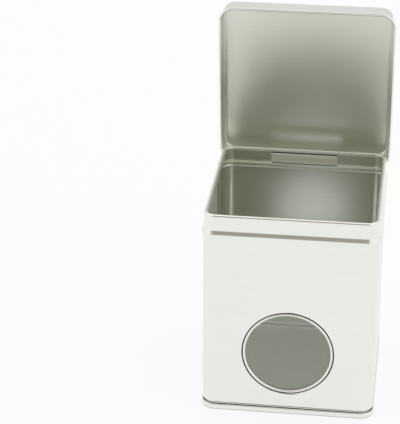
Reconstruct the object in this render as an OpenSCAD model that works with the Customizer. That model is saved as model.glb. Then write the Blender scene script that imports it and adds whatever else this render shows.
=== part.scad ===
// Square tinplate tin with a round window in its front wall.
// A drawn lid turns on its own curled edge, in a hook at the back of the neck.
// The tin stands on z = 0 with its lid open, and its window faces -Y.
// Sheet forms are drawn as a section of bent sheet and swept round a rounded square.
// A section point is [out, z]: out is measured from the square through the corner centres.

/* [Body] */
// Width over the side walls
body_w = 80; // [70:1:100]
// Depth over the front and back walls
body_d = 80; // [70:1:100]
// Height of the walls below the bead
wall_h = 89.5; // [70:0.1:130]
// Outer radius of the upright corners
corner_r = 6; // [5:0.1:9]
// Thickness of the tinplate
sheet_t = 0.25; // [0.2:0.01:0.28]

/* [Neck] */
// How far the bead stands out from the wall
bead_out = 0.55; // [0.4:0.05:0.7]
// Height of the bead's upright face
bead_face = 0.65; // [0.4:0.05:1]
// Height of the slope above that face, as a multiple of how far it steps in
slope_ratio = 2.8; // [2.2:0.2:3.2]
// Height of the rim above that slope
neck_h = 7.1; // [6.5:0.1:11]
// How far the neck stands inside the body wall
neck_inset = 0.45; // [0.3:0.05:0.6]
// Diameter of the rim's inward curl
rim_d = 2; // [1.4:0.1:2.2]
// Diameter of the two snap dimples in front
dimple_d = 2; // [1.6:0.1:3]
// How far the dimples stand out from the neck
dimple_out = 0.12; // [0.05:0.01:0.15]
// Distance of each dimple from the middle of the front
dimple_x = 22; // [10:1:28]
// Distance of the dimples below the rim's top
dimple_drop = 2.6; // [2.4:0.1:4]

/* [Base] */
// Height of the double seam round the foot
seam_h = 2.7; // [2.4:0.1:4]
// How far the wall is necked in above the seam
foot_inset = 0.5; // [0.3:0.05:0.7]
// Height of the base panel's upper face
base_h = 2.9; // [2.4:0.1:4]
// Gap between the layers of the seam
seam_gap = 0.03; // [0.02:0.01:0.05]

/* [Window] */
// Diameter of the pressing in the front wall
window_d = 43.5; // [30:0.5:50]
// Height of the window's centre
window_h = 32; // [31:0.5:50]
// Width of the groove round the ridge
groove_w = 0.4; // [0.2:0.05:0.5]
// Depth of that groove behind the wall's face
groove_depth = 0.9; // [0.8:0.05:1.1]
// Width of the round ridge that frames the pane
ridge_w = 1.3; // [0.8:0.05:1.35]
// Depth of the lip that the pane lies behind
lip_depth = 1.2; // [1.2:0.05:1.5]
// Thickness of the clear pane
pane_t = 0.3; // [0.2:0.05:0.5]
// Clearance round the pane
pane_gap = 0.03; // [0.02:0.01:0.08]
// Width of the retaining ring's flange on the wall
ring_flange_w = 1.8; // [1:0.1:3]

/* [Lid] */
// Room between the rim and the closed lid's top
lid_room = 1.8; // [1:0.1:6]
// Clearance between the skirt and the neck
lid_gap = 0.35; // [0.35:0.05:0.5]
// Diameter of the curl along the skirt's edge
curl_d = 1.4; // [1.2:0.1:1.8]
// Least clearance between the closed lid's curl and the bead's slope
curl_gap = 0.05; // [0.03:0.01:0.1]
// Outer radius between the skirt and the top
lid_edge_r = 1.8; // [1:0.1:3]
// Angle from closed to the open stop
open_angle = 83; // [75:1:95]

/* [Hinge] */
// Width of the opening in the back of the neck
hinge_w = 32; // [20:1:45]
// How much wider the opening is where it cuts the slope, at each end
notch_w = 0.8; // [0.5:0.1:1.5]
// Clearance between the hook and each end of the opening
hook_side = 0.4; // [0.2:0.1:1]
// Running clearance between the curl and the hook
hook_gap = 0.05; // [0.03:0.01:0.08]
// Clearance between the hook's edge and the open skirt
stop_gap = 0.05; // [0.03:0.01:0.1]
// Diameter of the roll along the opening's top edge
roll_d = 2; // [1.4:0.1:2.2]
// Space between the rim's curl and that roll
strip_h = 0.3; // [0.2:0.1:1]

/* [Seam] */
// Width of the side seam's fold inside the wall
side_seam_w = 3.6; // [3:0.1:5]
// Distance of the side seam behind the tin's middle
side_seam_y = 22; // [10:1:25]
// Width of the line that the side seam leaves on the outside
seam_line_w = 0.3; // [0.2:0.05:0.5]
// Depth of that line
seam_line_depth = 0.1; // [0.05:0.01:0.12]

/* [Hidden] */
$fn = 96;

tin = "#d3d4cd";
clear_pet = "#c9cfcc";

// Half sides of the square through the corner centres
core_x = body_w/2 - corner_r;
core_y = body_d/2 - corner_r;

// Section places: the sheet's middle line is half a thickness inside its outer face
half_t = sheet_t/2;
wall_m = corner_r - half_t;
bead_m = wall_m + bead_out;
neck_m = wall_m - neck_inset;
foot_m = wall_m - foot_inset;

// Bead: two quarter bends under its face, then a long ogee in to the neck
under_ratio = 1;
face_low = wall_h + under_ratio*bead_out;
face_top = face_low + bead_face;
neck_low = face_top + slope_ratio*(bead_out + neck_inset);
rim_h = neck_low + neck_h;

// Foot: the wall is necked in over a groove that runs round above the seam
foot_ratio = 2;
foot_groove_h = 0.6;
neck_in_z = seam_h + foot_groove_h;
foot_top = neck_in_z + foot_ratio*foot_inset;

// Curls: the angles that the rim's curl and the opening's roll, and the lid's curl, turn through
rim_turn = 300;
curl_turn = 290;

// Lid: the skirt runs outside the neck
skirt_m = corner_r - neck_inset + lid_gap + half_t;
curl_r = curl_d/2 - half_t;
curl_m = skirt_m + curl_r;
edge_r = lid_edge_r - half_t;
lid_top = rim_h + lid_room + sheet_t;
pivot_y = core_y + curl_m;

// The closed lid's curl rests over the round top of the bead's slope, whose middle line
// has radius slope_r. The height is rounded up to a hundredth.
slope_r = ogee_radius(bead_out + neck_inset, slope_ratio);
curl_reach = slope_r + half_t + curl_d/2 + curl_gap;
curl_side = curl_m - bead_m + slope_r;
curl_z = ceil(100*(face_top + sqrt(curl_reach*curl_reach - curl_side*curl_side)))/100;

// The hook starts in the slope, runs out under the curl and turns up round it.
// It ends where its outer edge is stop_gap short of the open skirt.
hook_w = hinge_w - 2*hook_side;
hook_r = curl_d/2 + hook_gap + half_t;
hook_m = curl_z - hook_r;
hook_rise = hook_m - face_top;
hook_root = bead_m - slope_r + sqrt(slope_r*slope_r - hook_rise*hook_rise);
hook_end = acos((stop_gap - curl_r + half_t)/(hook_r + half_t)) - open_angle;

// Hinge opening in the back of the neck
roll_r = roll_d/2 - half_t;
roll_z = rim_h - rim_d - strip_h - roll_d/2;
hinge_low = hook_m + half_t;

// Snap dimples: a dome whose radius follows from its width and height
dimple_r = (dimple_d*dimple_d/4 + dimple_out*dimple_out)/(2*dimple_out);

// Seam layers from the inside out: panel wall, body wall, base hook, body hook, outer wall
layer = sheet_t + seam_gap;
panel_gap = 0.05;
panel_wall_m = foot_m - sheet_t - panel_gap;
base_hook_m = foot_m + layer;
body_hook_m = foot_m + 2*layer;
outer_wall_m = foot_m + 3*layer;
foot_bend = 0.3;
panel_bend = 0.5;
hook_floor_gap = 0.1;
body_hook_low = sheet_t + hook_floor_gap + half_t + layer;
seam_top_m = seam_h - half_t - layer;
hook_tip_gap = 0.2;

// Window places: radii from its centre and depths behind the wall's outer face
step_r = 0.3;
step_m = window_d/2 - step_r;
groove_r = groove_w/2 + half_t;
ridge_r = ridge_w/2 - half_t;
groove_mid = groove_depth - groove_w/2;
lip_m = step_m - 2*groove_r - 2*ridge_r;
wall_lap = 0.5;
pane_lap = 1.15;
pane_r = window_d/2 + pane_lap;
pane_front = lip_depth + pane_gap;
pane_back = pane_front + pane_t;
ring_lap = 2;
ring_side_gap = 0.2;
ring_seat_gap = 0.02;
ring_m = pane_back + pane_gap + half_t;
ring_wall_m = pane_r + ring_side_gap + half_t;
ring_seat_m = sheet_t + ring_seat_gap + half_t;
ring_bend = 0.2;

// How far cuts run past the faces that they cut
past = 1;
// How far solids run into each other where they join at an angle
into = 0.01;

// The radius of an ogee's two arcs, from its step and how many times higher it is
function ogee_radius(step, ratio) = step*(ratio*ratio + 1)/4;

// A wedge with its point at the origin, from angle a0 to a1
module wedge(a0, a1, reach) {
    steps = ceil((a1 - a0)/45);
    arc = [for (i = [0:steps]) let (a = a0 + (a1 - a0)*i/steps) [cos(a), sin(a)]*reach];
    polygon(concat([[0, 0]], arc));
}

// A bend of sheet about centre c, with middle radius r, from angle a0 to a1
module bend(c, r, a0, a1) {
    translate(c) intersection() {
        difference() {
            circle(r + half_t);
            circle(r - half_t);
        }
        wedge(a0, a1, 3*r);
    }
}

// A straight run of sheet along its middle line from a to b
module run(a, b) {
    way = b - a;
    translate(a) rotate(atan2(way[1], way[0])) translate([0, -half_t]) square([norm(way), sheet_t]);
}

// An ogee of sheet going up from [out, z], stepping out, or in where step is below 0,
// and as high as its step times ratio
module ogee(out, z, step, ratio) {
    r = ogee_radius(abs(step), ratio);
    turn = 2*atan2(1, ratio);
    top = z + abs(step)*ratio;
    if (step > 0) {
        bend([out + r, z], r, 180 - turn, 180);
        bend([out + step - r, top], r, -turn, 0);
    } else {
        bend([out - r, z], r, 0, turn);
        bend([out + step + r, top], r, 180, 180 + turn);
    }
}

// One wall of a section swept along a straight side of the given half length
module side(half, reach) {
    translate([reach, half, 0]) rotate([90, 0, 0]) linear_extrude(2*half) children();
}

// A section swept all round the rounded square
module all_round() {
    for (turn = [0, 180]) rotate(turn) side(core_y, core_x) children();
    for (turn = [90, 270]) rotate(turn) side(core_x, core_y) children();
    for (x = [0, 1], y = [0, 1]) {
        mirror([x, 0, 0]) mirror([0, y, 0]) translate([core_x, core_y, 0])
            rotate_extrude(angle = 90) children();
    }
}

// A section of the back wall, run along X for the given width
module back_strip(width) {
    translate([-width/2, core_y, 0]) rotate([90, 0, 90]) linear_extrude(width) children();
}

// A flat rounded square of sheet whose edge lies at section place out
module plate(out, low) {
    translate([0, 0, low]) linear_extrude(sheet_t) union() {
        square([2*core_x, 2*(core_y + out)], center = true);
        square([2*(core_x + out), 2*core_y], center = true);
        for (x = [-1, 1], y = [-1, 1]) translate([x*core_x, y*core_y]) circle(out);
    }
}

// The body's section from its seam hook up to the rim's inward curl
module body_section() {
    bend([foot_m + layer, body_hook_low], layer, 180, 360);
    run([body_hook_m, body_hook_low], [body_hook_m, seam_top_m - hook_tip_gap]);
    run([foot_m, body_hook_low], [foot_m, neck_in_z]);
    ogee(foot_m, neck_in_z, foot_inset, foot_ratio);
    run([wall_m, foot_top], [wall_m, wall_h]);
    ogee(wall_m, wall_h, bead_out, under_ratio);
    run([bead_m, face_low], [bead_m, face_top]);
    ogee(bead_m, face_top, -(bead_out + neck_inset), slope_ratio);
    run([neck_m, neck_low], [neck_m, rim_h - rim_d/2]);
    bend([neck_m - rim_d/2 + half_t, rim_h - rim_d/2], rim_d/2 - half_t, 0, rim_turn);
}

// The pressing round the window: a groove, then a round ridge that ends in a lip.
// Its first part laps into the flat of the wall.
module window_pressing() {
    rotate_extrude() {
        run([window_d/2, half_t], [window_d/2 + wall_lap, half_t]);
        bend([window_d/2, half_t + step_r], step_r, 180, 270);
        run([step_m, half_t + step_r], [step_m, groove_mid]);
        bend([step_m - groove_r, groove_mid], groove_r, 0, 180);
        bend([lip_m + ridge_r, groove_mid], ridge_r, 180, 360);
        run([lip_m, groove_mid], [lip_m, lip_depth]);
    }
}

// The outline of the hinge opening, seen from the back
module hinge_outline() {
    low_w = hinge_w/2 + notch_w;
    polygon([[-low_w, hinge_low], [low_w, hinge_low], [hinge_w/2, neck_low],
             [hinge_w/2, roll_z], [-hinge_w/2, roll_z], [-hinge_w/2, neck_low]]);
}

// The hook under the lid's curl, bent out of the bead's slope
module hook_section() {
    run([curl_m, hook_m], [hook_root, hook_m]);
    bend([curl_m, curl_z], hook_r, 270, 360 + hook_end);
}

// The domes of the snap dimples, thinner than the outer dome by the given amount
module dimple_domes(inset) {
    y = -(core_y + neck_m + half_t + dimple_out - dimple_r);
    for (x = [-dimple_x, dimple_x]) {
        translate([x, y, rim_h - dimple_drop]) intersection() {
            sphere(dimple_r - inset);
            rotate([90, 0, 0]) cylinder(r = dimple_d/2 + sheet_t, h = dimple_r);
        }
    }
}

// A slab along the front of the neck, from one depth behind its face to another
module neck_slab(outer, inner) {
    translate([-core_x, -(core_y + neck_m + half_t) + outer, neck_low])
        cube([2*core_x, inner - outer, rim_h - rim_d/2 - neck_low]);
}

// The rolled upper edge of the hinge opening
module roll_section() {
    bend([neck_m - roll_r, roll_z], roll_r, -rim_turn, 0);
}

// Places a shape made about the window's axis, with z as depth behind the wall's face
module at_window() {
    translate([0, -body_d/2, window_h]) rotate([-90, 0, 0]) children();
}

// One sheet wrapped round, with its seam hook, necked foot, bead, rim and hinge hook
module body() {
    color(tin) {
        difference() {
            all_round() body_section();
            at_window() translate([0, 0, -past]) cylinder(r = window_d/2, h = sheet_t + 2*past);
            translate([0, core_y + bead_m + past, 0]) rotate([90, 0, 0])
                linear_extrude(rim_d + 3*past) hinge_outline();
            seam_line();
            intersection() {
                dimple_domes(sheet_t);
                neck_slab(half_t, sheet_t + into);
            }
        }
        intersection() {
            dimple_domes(0);
            neck_slab(-past, half_t/2);
        }
        at_window() window_pressing();
        back_strip(hook_w) hook_section();
        back_strip(hinge_w) roll_section();
        side_seam();
    }
}

// The fold of the side seam, pressed flat against the wall's inner face
module side_seam() {
    seam_slab(sheet_t - into, 2*sheet_t, side_seam_w);
}

// The fine line that the seam's folded edge leaves in the wall's outer face
module seam_line() {
    seam_slab(-past, past + seam_line_depth, seam_line_w);
}

// A slab up the side seam, from a depth behind the wall's outer face, of a thickness and width
module seam_slab(depth, thick, width) {
    low = foot_top + past;
    translate([-body_w/2 + depth, side_seam_y - width/2, low])
        cube([thick, width, wall_h - past - low]);
}

// Drawn base, its edge folded round the body's hook into a double seam
module base() {
    color(tin) {
        all_round() {
            bend([panel_wall_m - panel_bend, base_h - half_t - panel_bend], panel_bend, 0, 90);
            run([panel_wall_m, half_t + foot_bend], [panel_wall_m, base_h - half_t - panel_bend]);
            bend([panel_wall_m + foot_bend, half_t + foot_bend], foot_bend, 180, 270);
            run([panel_wall_m + foot_bend, half_t], [outer_wall_m - foot_bend, half_t]);
            bend([outer_wall_m - foot_bend, half_t + foot_bend], foot_bend, 270, 360);
            run([outer_wall_m, half_t + foot_bend], [outer_wall_m, seam_top_m]);
            bend([body_hook_m, seam_top_m], layer, 0, 180);
            run([base_hook_m, body_hook_low + hook_floor_gap], [base_hook_m, seam_top_m]);
        }
        plate(panel_wall_m - panel_bend, base_h - sheet_t);
    }
}

// Clear disc that lies behind the lip
module window_pane() {
    color(clear_pet) at_window() translate([0, 0, pane_front]) cylinder(r = pane_r, h = pane_t);
}

// Pressed ring that holds the pane from inside, with its flange on the wall
module window_ring() {
    color(tin) at_window() rotate_extrude() {
        run([pane_r - ring_lap, ring_m], [ring_wall_m - ring_bend, ring_m]);
        bend([ring_wall_m - ring_bend, ring_m - ring_bend], ring_bend, 0, 90);
        run([ring_wall_m, ring_seat_m + ring_bend], [ring_wall_m, ring_m - ring_bend]);
        bend([ring_wall_m + ring_bend, ring_seat_m + ring_bend], ring_bend, 180, 270);
        run([ring_wall_m + ring_bend, ring_seat_m], [ring_wall_m + ring_flange_w, ring_seat_m]);
    }
}

// Drawn lid as it lies closed, with its edge curled outwards
module closed_lid() {
    all_round() {
        bend([curl_m, curl_z], curl_r, 180, 180 + curl_turn);
        run([skirt_m, curl_z], [skirt_m, lid_top - lid_edge_r]);
        bend([skirt_m - edge_r, lid_top - lid_edge_r], edge_r, 0, 90);
    }
    plate(skirt_m - edge_r, lid_top - sheet_t);
}

// Lid at its open stop
module lid() {
    color(tin) translate([0, pivot_y, curl_z]) rotate([-open_angle, 0, 0])
        translate([0, -pivot_y, -curl_z]) closed_lid();
}

body();
base();
window_pane();
window_ring();
lid();
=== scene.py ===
import math

import bpy
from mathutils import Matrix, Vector

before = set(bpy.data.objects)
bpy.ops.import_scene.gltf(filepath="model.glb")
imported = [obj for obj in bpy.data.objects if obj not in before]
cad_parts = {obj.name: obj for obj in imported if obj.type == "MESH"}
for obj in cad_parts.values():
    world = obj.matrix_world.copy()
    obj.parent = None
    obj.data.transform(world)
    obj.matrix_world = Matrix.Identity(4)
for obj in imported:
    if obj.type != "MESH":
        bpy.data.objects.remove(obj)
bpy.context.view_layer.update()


# Body wrap: one sheet of tinplate bent round into a square tube, with its side seam folded
# flat, its bead and neck rolled, its rim curled in, and the hinge's hook lanced out of the
# back. The window's groove and ridge are pressed into its front.
WRAP_GRAIN_MM = (40.0, 40.0, 0.8)
WRAP_CORE_MM = ((-34, -34, -999), (34, 34, 999))
WRAP_SATIN = 0.24
BARE_TONES = ("#ebece6", "#f6f6f1")
LACQUERED_TONES = ("#e2e4d9", "#eef0e5")
# Grey painted into tight creases as shade, in place of the dark reflections they hold on real tin.
CREASE_PAINTED_SHADE = "#57554e"
CREASE_REACH_M = 0.0014
CREASE_OPENNESS = (0.8, 0.3)
INNER_FACE_TURN = (-0.1, -0.6)
CLOUD_MM = 14
BUCKLE_MM = 34
BUCKLE_DEPTH_M = 0.00012
LINE_DEPTH_M = 0.000008
LINES_IN_TONE = 0.6
# Gloss drifts by this much to either side. Both faces of every piece stay off 0.274,
# which renders with wrinkles that the metal doesn't have.
SATIN_DRIFT = 0.025
LACQUER_DULLS = 0.07


def linear(hex_colour):
    """The linear colour of an sRGB hex value, with alpha 1."""
    parts = [int(hex_colour[i : i + 2], 16) / 255 for i in (1, 3, 5)]
    return [c / 12.92 if c <= 0.04045 else ((c + 0.055) / 1.055) ** 2.4 for c in parts] + [1.0]


def node(tree, kind, settings=None, values=None, links=None):
    """Adds a node, sets its properties and sockets, and links its inputs from other outputs."""
    made = tree.nodes.new(kind)
    for name, value in (settings or {}).items():
        setattr(made, name, value)
    for name, value in (values or {}).items():
        made.inputs[name].default_value = value
    for name, source in (links or {}).items():
        tree.links.new(source, made.inputs[name])
    return made


def tinplate(name, grain_mm, core_mm, satin, turned_deg=0, turned_about_mm=(0, 0, 0)):
    """Electrolytic tinplate as it comes off the mill, satin outside and lacquered inside.

    The steel strip is rolled, so fine lines run along it, and its plated tin is melted, so
    tone and gloss drift in clouds. Pressed panels buckle a little, which bends reflections.
    The lines are drawn much coarser than the real ones, which are too fine to show.
    The clear lacquer on the inner face makes the metal duller, darker and olive, and more
    so with every bounce between the walls. The inner face is the one that looks towards
    core_mm, a box inside the piece, after the piece is turned shut about the X axis.
    Tight creases get painted shade: a grey that stands in for the dark reflections they hold on real
    tin.
    """
    material = bpy.data.materials.new(name)
    material.use_nodes = True
    tree = material.node_tree
    shader = tree.nodes["Principled BSDF"]
    shader.inputs["Metallic"].default_value = 1.0
    surface = node(tree, "ShaderNodeTexCoord").outputs
    place = surface["Object"]
    shut = node(
        tree,
        "ShaderNodeVectorRotate",
        {"rotation_type": "X_AXIS"},
        {"Angle": math.radians(turned_deg), "Center": [mm / 1000 for mm in turned_about_mm]},
        {"Vector": place},
    )
    faces = node(
        tree,
        "ShaderNodeVectorRotate",
        {"rotation_type": "X_AXIS"},
        {"Angle": math.radians(turned_deg)},
        {"Vector": surface["Normal"]},
    )
    over_low = node(
        tree,
        "ShaderNodeVectorMath",
        {"operation": "MAXIMUM"},
        {1: [mm / 1000 for mm in core_mm[0]]},
        {0: shut.outputs["Vector"]},
    )
    in_core = node(
        tree,
        "ShaderNodeVectorMath",
        {"operation": "MINIMUM"},
        {1: [mm / 1000 for mm in core_mm[1]]},
        {0: over_low.outputs["Vector"]},
    )
    off_core = node(
        tree,
        "ShaderNodeVectorMath",
        {"operation": "SUBTRACT"},
        links={0: shut.outputs["Vector"], 1: in_core.outputs["Vector"]},
    )
    outwards = node(
        tree, "ShaderNodeVectorMath", {"operation": "NORMALIZE"}, links={0: off_core.outputs["Vector"]}
    )
    looks_out = node(
        tree,
        "ShaderNodeVectorMath",
        {"operation": "DOT_PRODUCT"},
        links={0: faces.outputs["Vector"], 1: outwards.outputs["Vector"]},
    )
    lacquer = node(
        tree,
        "ShaderNodeMapRange",
        {"interpolation_type": "SMOOTHSTEP"},
        {"From Min": INNER_FACE_TURN[0], "From Max": INNER_FACE_TURN[1]},
        {"Value": looks_out.outputs["Value"]},
    )
    along = node(
        tree,
        "ShaderNodeMapping",
        values={"Scale": [1000 / size for size in grain_mm]},
        links={"Vector": place},
    )
    lines = node(
        tree,
        "ShaderNodeTexNoise",
        values={"Scale": 1.0, "Detail": 4.0, "Roughness": 0.6},
        links={"Vector": along.outputs["Vector"]},
    )
    clouds = node(
        tree,
        "ShaderNodeTexNoise",
        values={"Scale": 1000 / CLOUD_MM, "Detail": 3.0},
        links={"Vector": place},
    )
    buckles = node(
        tree,
        "ShaderNodeTexNoise",
        values={"Scale": 1000 / BUCKLE_MM, "Detail": 1.0},
        links={"Vector": place},
    )
    drift = node(
        tree,
        "ShaderNodeMix",
        {"data_type": "FLOAT"},
        {"Factor": LINES_IN_TONE},
        {"A": clouds.outputs["Fac"], "B": lines.outputs["Fac"]},
    )
    bare = node(
        tree,
        "ShaderNodeMix",
        {"data_type": "RGBA"},
        {"A": linear(BARE_TONES[0]), "B": linear(BARE_TONES[1])},
        {"Factor": drift.outputs["Result"]},
    )
    lined = node(
        tree,
        "ShaderNodeMix",
        {"data_type": "RGBA"},
        {"A": linear(LACQUERED_TONES[0]), "B": linear(LACQUERED_TONES[1])},
        {"Factor": drift.outputs["Result"]},
    )
    tone = node(
        tree,
        "ShaderNodeMix",
        {"data_type": "RGBA"},
        links={
            "Factor": lacquer.outputs["Result"],
            "A": bare.outputs["Result"],
            "B": lined.outputs["Result"],
        },
    )
    # Painted shade: where ambient occlusion finds a tight crease, the base colour is mixed towards a
    # dark grey.
    openness = node(
        tree, "ShaderNodeAmbientOcclusion", {"samples": 16}, {"Distance": CREASE_REACH_M}
    )
    painted_shade_mask = node(
        tree,
        "ShaderNodeMapRange",
        {"interpolation_type": "SMOOTHSTEP"},
        {"From Min": CREASE_OPENNESS[0], "From Max": CREASE_OPENNESS[1]},
        {"Value": openness.outputs["AO"]},
    )
    with_painted_shade = node(
        tree,
        "ShaderNodeMix",
        {"data_type": "RGBA"},
        {"B": linear(CREASE_PAINTED_SHADE)},
        {"Factor": painted_shade_mask.outputs["Result"], "A": tone.outputs["Result"]},
    )
    tree.links.new(with_painted_shade.outputs["Result"], shader.inputs["Base Color"])
    gloss = node(
        tree,
        "ShaderNodeMapRange",
        values={"To Min": satin - SATIN_DRIFT, "To Max": satin + SATIN_DRIFT},
        links={"Value": clouds.outputs["Fac"]},
    )
    duller = node(
        tree,
        "ShaderNodeMath",
        {"operation": "MULTIPLY_ADD"},
        {1: LACQUER_DULLS},
        {0: lacquer.outputs["Result"], 2: gloss.outputs["Result"]},
    )
    tree.links.new(duller.outputs["Value"], shader.inputs["Roughness"])
    slow = node(
        tree,
        "ShaderNodeBump",
        values={"Strength": 1.0, "Distance": BUCKLE_DEPTH_M},
        links={"Height": buckles.outputs["Fac"]},
    )
    fine = node(
        tree,
        "ShaderNodeBump",
        values={"Strength": 1.0, "Distance": LINE_DEPTH_M},
        links={"Height": lines.outputs["Fac"], "Normal": slow.outputs["Normal"]},
    )
    tree.links.new(fine.outputs["Normal"], shader.inputs["Normal"])
    return material


def finish(piece_name, material):
    """Gives a CAD node its material."""
    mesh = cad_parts[piece_name].data
    mesh.materials.clear()
    mesh.materials.append(material)


finish("body", tinplate("tinplate_wrap", WRAP_GRAIN_MM, WRAP_CORE_MM, WRAP_SATIN))


# Base: a drawn tinplate panel, let in a little way up, with its edge folded round the foot
# of the wrap in a double seam. The strip's rolled lines run from side to side.
BASE_GRAIN_MM = (40.0, 0.8, 0.8)
BASE_CORE_MM = ((-34, -34, 3.5), (34, 34, 999))
BASE_SATIN = 0.3

finish("base", tinplate("tinplate_base", BASE_GRAIN_MM, BASE_CORE_MM, BASE_SATIN))


# Window pane: a disc punched from clear polyester sheet, laid behind the window's lip.
# The sheet is extruded, which leaves faint flow lines, and handling hazes it in patches.
POLYESTER_TINT = "#f0f3f6"
POLYESTER_IOR = 1.64
FLOW_MM = (5, 5, 45)
FLOW_DEPTH_M = 0.00001
HAZE_MM = 9
HAZE_CLOUDS = (0.35, 0.75)
HAZE_ROUGHNESS = (0.02, 0.09)

polyester = bpy.data.materials.new("clear_polyester")
polyester.use_nodes = True
film_tree = polyester.node_tree
film = film_tree.nodes["Principled BSDF"]
film.inputs["Base Color"].default_value = linear(POLYESTER_TINT)
film.inputs["Transmission Weight"].default_value = 1.0
film.inputs["IOR"].default_value = POLYESTER_IOR
film_place = node(film_tree, "ShaderNodeTexCoord").outputs["Object"]
flow = node(
    film_tree,
    "ShaderNodeMapping",
    values={"Scale": [1000 / size for size in FLOW_MM]},
    links={"Vector": film_place},
)
flow_lines = node(
    film_tree,
    "ShaderNodeTexNoise",
    values={"Scale": 1.0, "Detail": 2.0},
    links={"Vector": flow.outputs["Vector"]},
)
film_bump = node(
    film_tree,
    "ShaderNodeBump",
    values={"Strength": 1.0, "Distance": FLOW_DEPTH_M},
    links={"Height": flow_lines.outputs["Fac"]},
)
film_tree.links.new(film_bump.outputs["Normal"], film.inputs["Normal"])
handling = node(
    film_tree,
    "ShaderNodeTexNoise",
    values={"Scale": 1000 / HAZE_MM, "Detail": 4.0},
    links={"Vector": film_place},
)
haze = node(
    film_tree,
    "ShaderNodeMapRange",
    values={
        "From Min": HAZE_CLOUDS[0],
        "From Max": HAZE_CLOUDS[1],
        "To Min": HAZE_ROUGHNESS[0],
        "To Max": HAZE_ROUGHNESS[1],
    },
    links={"Value": handling.outputs["Fac"]},
)
film_tree.links.new(haze.outputs["Result"], film.inputs["Roughness"])
finish("window_pane", polyester)


# Window ring: a ring pressed from tinplate, which holds the pane against the lip from
# inside. It shows only from within the tin.
RING_GRAIN_MM = (40.0, 0.8, 0.8)
RING_CORE_MM = ((-34, -30, 3.5), (34, 34, 999))
RING_SATIN = 0.3

finish("window_ring", tinplate("tinplate_ring", RING_GRAIN_MM, RING_CORE_MM, RING_SATIN))


# Lid: drawn from one sheet of tinplate, with its edge curled outwards all round. At the
# back the curl turns in the wrap's hook. The lid stands open by LID_OPEN_DEG.
LID_GRAIN_MM = (40.0, 0.8, 0.8)
LID_CORE_MM = ((-34, -34, -999), (34, 34, 100.8))
LID_OPEN_DEG = 83
HINGE_LINE_MM = (0, 40.6, 92.66)
LID_SATIN = 0.3

lid_tinplate = tinplate(
    "tinplate_lid", LID_GRAIN_MM, LID_CORE_MM, LID_SATIN, LID_OPEN_DEG, HINGE_LINE_MM
)
finish("lid", lid_tinplate)


# Table: white paper under the tin, wide enough to fill every view. Most of its white is
# its own glow, so it stays white in the view and in the metal, with the tin's faint shadow.
TABLE_REACH_M = 6.0
PAPER_WHITE = "#fcfcfb"
PAPER_ROUGHNESS = 0.9
PAPER_SHINE = 0.2
PAPER_SHOWS_WHITE = 0.82

corner_ways = ((-1, -1), (1, -1), (1, 1), (-1, 1))
corners = [(x * TABLE_REACH_M, y * TABLE_REACH_M, 0) for x, y in corner_ways]
table_mesh = bpy.data.meshes.new("table")
table_mesh.from_pydata(corners, [], [(0, 1, 2, 3)])
table = bpy.data.objects.new("table", table_mesh)
bpy.context.scene.collection.objects.link(table)
paper = bpy.data.materials.new("white_paper")
paper.use_nodes = True
paper_tree = paper.node_tree
sheet = paper_tree.nodes["Principled BSDF"]
sheet.inputs["Base Color"].default_value = linear(PAPER_WHITE)
sheet.inputs["Roughness"].default_value = PAPER_ROUGHNESS
sheet.inputs["Specular IOR Level"].default_value = PAPER_SHINE
ray = node(paper_tree, "ShaderNodeLightPath").outputs
seen = node(
    paper_tree,
    "ShaderNodeMath",
    {"operation": "MAXIMUM"},
    links={0: ray["Is Camera Ray"], 1: ray["Is Glossy Ray"]},
)
shown = node(
    paper_tree,
    "ShaderNodeMath",
    {"operation": "MAXIMUM"},
    links={0: seen.outputs["Value"], 1: ray["Is Transmission Ray"]},
)
share = node(
    paper_tree,
    "ShaderNodeMath",
    {"operation": "MULTIPLY"},
    {1: PAPER_SHOWS_WHITE},
    {0: shown.outputs["Value"]},
)
white = node(paper_tree, "ShaderNodeEmission")
mixed = node(
    paper_tree,
    "ShaderNodeMixShader",
    links={0: share.outputs["Value"], 1: sheet.outputs["BSDF"], 2: white.outputs["Emission"]},
)
paper_tree.links.new(mixed.outputs["Shader"], paper_tree.nodes["Material Output"].inputs["Surface"])
table_mesh.materials.append(paper)


# Light tent: white cloth all round, brightest overhead and dimmest at the back, with a gap
# in front where the darker room shows. Bright metal mirrors all of it. Angles are radians,
# and Y and Z are parts of a direction of length 1.
SIDE_LIGHT = 1.0
BACK_LIGHT = 0.74
ROOM_LIGHT = 0.36
TOP_LIGHT = 1.15
ROOM_TURN = -0.13
ROOM_HALF_ANGLE = 0.56
ROOM_SOFT_ANGLE = 0.16
ROOM_FOOT_Z = (0.02, 0.14)
ROOM_HEAD_Z = (0.97, 0.86)
ROOM_TINT = "#fbf6ec"
CLOTH_FADES_Y = (0.2, 0.9)
ROOF_Z = (0.74, 0.88)

world = bpy.data.worlds.new("light_tent")
bpy.context.scene.world = world
world.use_nodes = True
tent = world.node_tree
tent.nodes.clear()
way = node(tent, "ShaderNodeTexCoord").outputs["Generated"]
part = node(tent, "ShaderNodeSeparateXYZ", links={0: way}).outputs
forward = node(tent, "ShaderNodeMath", {"operation": "MULTIPLY"}, {1: -1.0}, {0: part["Y"]})
turn = node(
    tent,
    "ShaderNodeMath",
    {"operation": "ARCTAN2"},
    links={0: part["X"], 1: forward.outputs["Value"]},
)
off_turn = node(
    tent, "ShaderNodeMath", {"operation": "SUBTRACT"}, {1: ROOM_TURN}, {0: turn.outputs["Value"]}
)
off_room = node(tent, "ShaderNodeMath", {"operation": "ABSOLUTE"}, links={0: off_turn.outputs["Value"]})
across = node(
    tent,
    "ShaderNodeMapRange",
    {"interpolation_type": "SMOOTHSTEP"},
    {
        "From Min": ROOM_HALF_ANGLE + ROOM_SOFT_ANGLE,
        "From Max": ROOM_HALF_ANGLE - ROOM_SOFT_ANGLE,
    },
    {"Value": off_room.outputs["Value"]},
)
above_foot = node(
    tent,
    "ShaderNodeMapRange",
    {"interpolation_type": "SMOOTHSTEP"},
    {"From Min": ROOM_FOOT_Z[0], "From Max": ROOM_FOOT_Z[1]},
    {"Value": part["Z"]},
)
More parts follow.
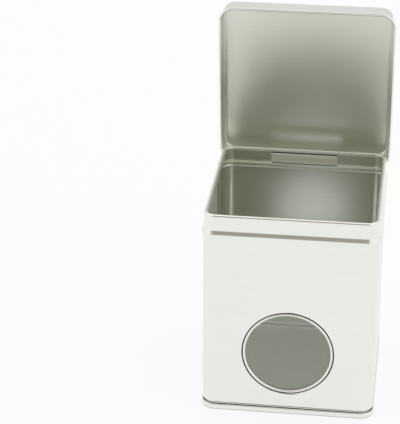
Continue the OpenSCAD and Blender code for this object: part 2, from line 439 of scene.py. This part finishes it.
below_head = node(
    tent,
    "ShaderNodeMapRange",
    {"interpolation_type": "SMOOTHSTEP"},
    {"From Min": ROOM_HEAD_Z[0], "From Max": ROOM_HEAD_Z[1]},
    {"Value": part["Z"]},
)
upright = node(
    tent,
    "ShaderNodeMath",
    {"operation": "MULTIPLY"},
    links={0: above_foot.outputs["Result"], 1: below_head.outputs["Result"]},
)
gap = node(
    tent,
    "ShaderNodeMath",
    {"operation": "MULTIPLY"},
    links={0: across.outputs["Result"], 1: upright.outputs["Value"]},
)
cloth = node(
    tent,
    "ShaderNodeMapRange",
    {"interpolation_type": "SMOOTHSTEP"},
    {
        "From Min": CLOTH_FADES_Y[0],
        "From Max": CLOTH_FADES_Y[1],
        "To Min": SIDE_LIGHT,
        "To Max": BACK_LIGHT,
    },
    {"Value": part["Y"]},
)
roof = node(
    tent,
    "ShaderNodeMapRange",
    {"interpolation_type": "SMOOTHSTEP"},
    {"From Min": ROOF_Z[0], "From Max": ROOF_Z[1]},
    {"Value": part["Z"]},
)
white_cloth = node(
    tent,
    "ShaderNodeMix",
    {"data_type": "FLOAT"},
    {"B": TOP_LIGHT},
    {"Factor": roof.outputs["Result"], "A": cloth.outputs["Result"]},
)
light = node(
    tent,
    "ShaderNodeMix",
    {"data_type": "FLOAT"},
    {"B": ROOM_LIGHT},
    {"Factor": gap.outputs["Value"], "A": white_cloth.outputs["Result"]},
)
colour = node(
    tent,
    "ShaderNodeMix",
    {"data_type": "RGBA"},
    {"A": linear("#ffffff"), "B": linear(ROOM_TINT)},
    {"Factor": gap.outputs["Value"]},
)
background = node(
    tent,
    "ShaderNodeBackground",
    links={"Color": colour.outputs["Result"], "Strength": light.outputs["Result"]},
)
node(tent, "ShaderNodeOutputWorld", links={"Surface": background.outputs["Background"]})


# Camera: a long lens above the tin and a little to its right, as in the photograph.
# The open tin's inner walls mirror each other many times, so light bounces often.
LENS_MM = 154.9
SENSOR_MM = 36
CLIP_M = (0.05, 20)
BOUNCES = 20
MIRRORINGS = 16
CAMERA_AT_MM = (53.9, -767.0, 455.9)
CAMERA_LOOKS = (-0.11615, 0.89310, -0.43461)

camera_data = bpy.data.cameras.new("camera")
camera_data.lens = LENS_MM
camera_data.sensor_width = SENSOR_MM
camera_data.clip_start = CLIP_M[0]
camera_data.clip_end = CLIP_M[1]
camera = bpy.data.objects.new("camera", camera_data)
camera.location = [place / 1000 for place in CAMERA_AT_MM]
camera.rotation_mode = "QUATERNION"
camera.rotation_quaternion = Vector(CAMERA_LOOKS).to_track_quat("-Z", "Y")
bpy.context.scene.collection.objects.link(camera)
bpy.context.scene.camera = camera
bpy.context.scene.cycles.max_bounces = BOUNCES
bpy.context.scene.cycles.glossy_bounces = MIRRORINGS
bpy.context.scene.view_settings.view_transform = "Standard"
